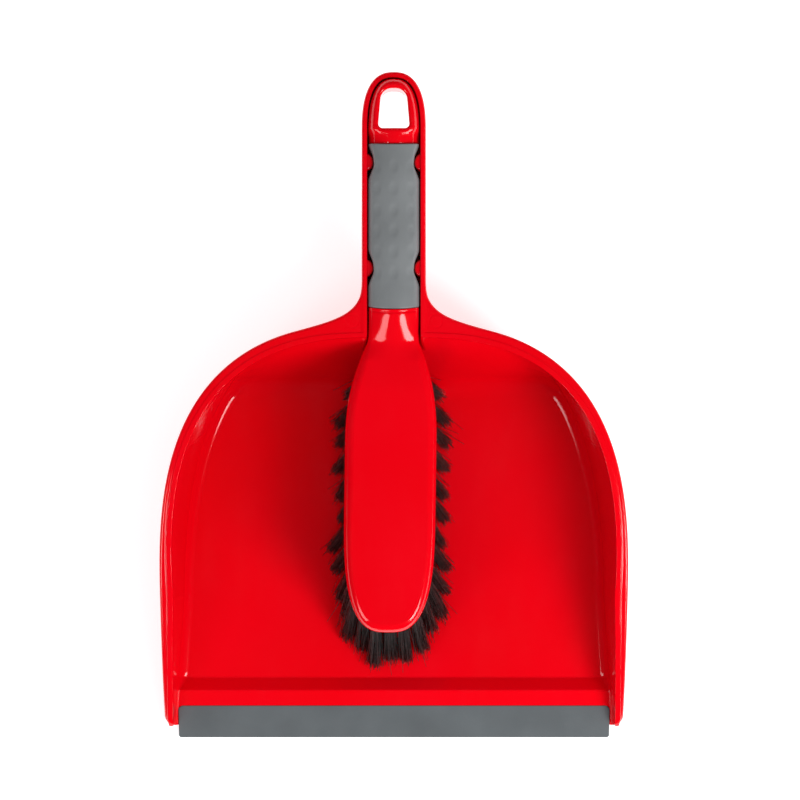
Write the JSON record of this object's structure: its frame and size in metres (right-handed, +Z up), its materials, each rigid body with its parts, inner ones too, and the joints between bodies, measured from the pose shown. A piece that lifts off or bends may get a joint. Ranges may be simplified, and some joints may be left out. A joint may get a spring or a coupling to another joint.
{
  "type": "dustpan and brush",
  "caption": "Wide dustpan with a soft front lip, a raised crest behind it and a channel-shaped handle that holds a tufted hand brush with a soft grip and a hang hole.",
  "frame": {"origin": "bottom centre of the whole set's bounding box: the pan's flat underside is z = 0, halfway from the lip's edge to the handle's end, on the left-right centre plane", "axes": "+Y from the soft lip towards the handle's end, +Z up, +X to the right when looking along +Y"},
  "size_m": [0.237, 0.339, 0.0644],
  "materials": {
    "red_plastic": "glossy moulded plastic",
    "grey_tpr": "satin soft-touch",
    "bristle": "fine synthetic filaments",
    "anchor_wire": "flattened wire"
  },
  "bodies": {
    "dustpan": {"pan_body": "red_plastic", "soft_lip": "grey_tpr"},
    "brush": {"brush_body": "red_plastic", "grip_sleeve": "grey_tpr", "tufts_row_1": "bristle", "tufts_row_2": "bristle", "tufts_row_3": "bristle", "tufts_row_4": "bristle", "tufts_row_5": "bristle", "tufts_row_6": "bristle", "tufts_row_7": "bristle", "tufts_row_8": "bristle", "tufts_row_9": "bristle", "tufts_toe_outer": "bristle", "tufts_toe_inner": "bristle", "anchors_row_1": "anchor_wire", "anchors_row_2": "anchor_wire", "anchors_row_3": "anchor_wire", "anchors_row_4": "anchor_wire", "anchors_row_5": "anchor_wire", "anchors_row_6": "anchor_wire", "anchors_row_7": "anchor_wire", "anchors_row_8": "anchor_wire", "anchors_row_9": "anchor_wire", "anchors_toe_outer": "anchor_wire", "anchors_toe_inner": "anchor_wire"}
  },
  "joints": [
    {"name": "brush_lift", "type": "slide", "parent": "dustpan", "child": "brush", "axis": [0, 0, 1], "range_m": [0, 0.12]}
  ]
}
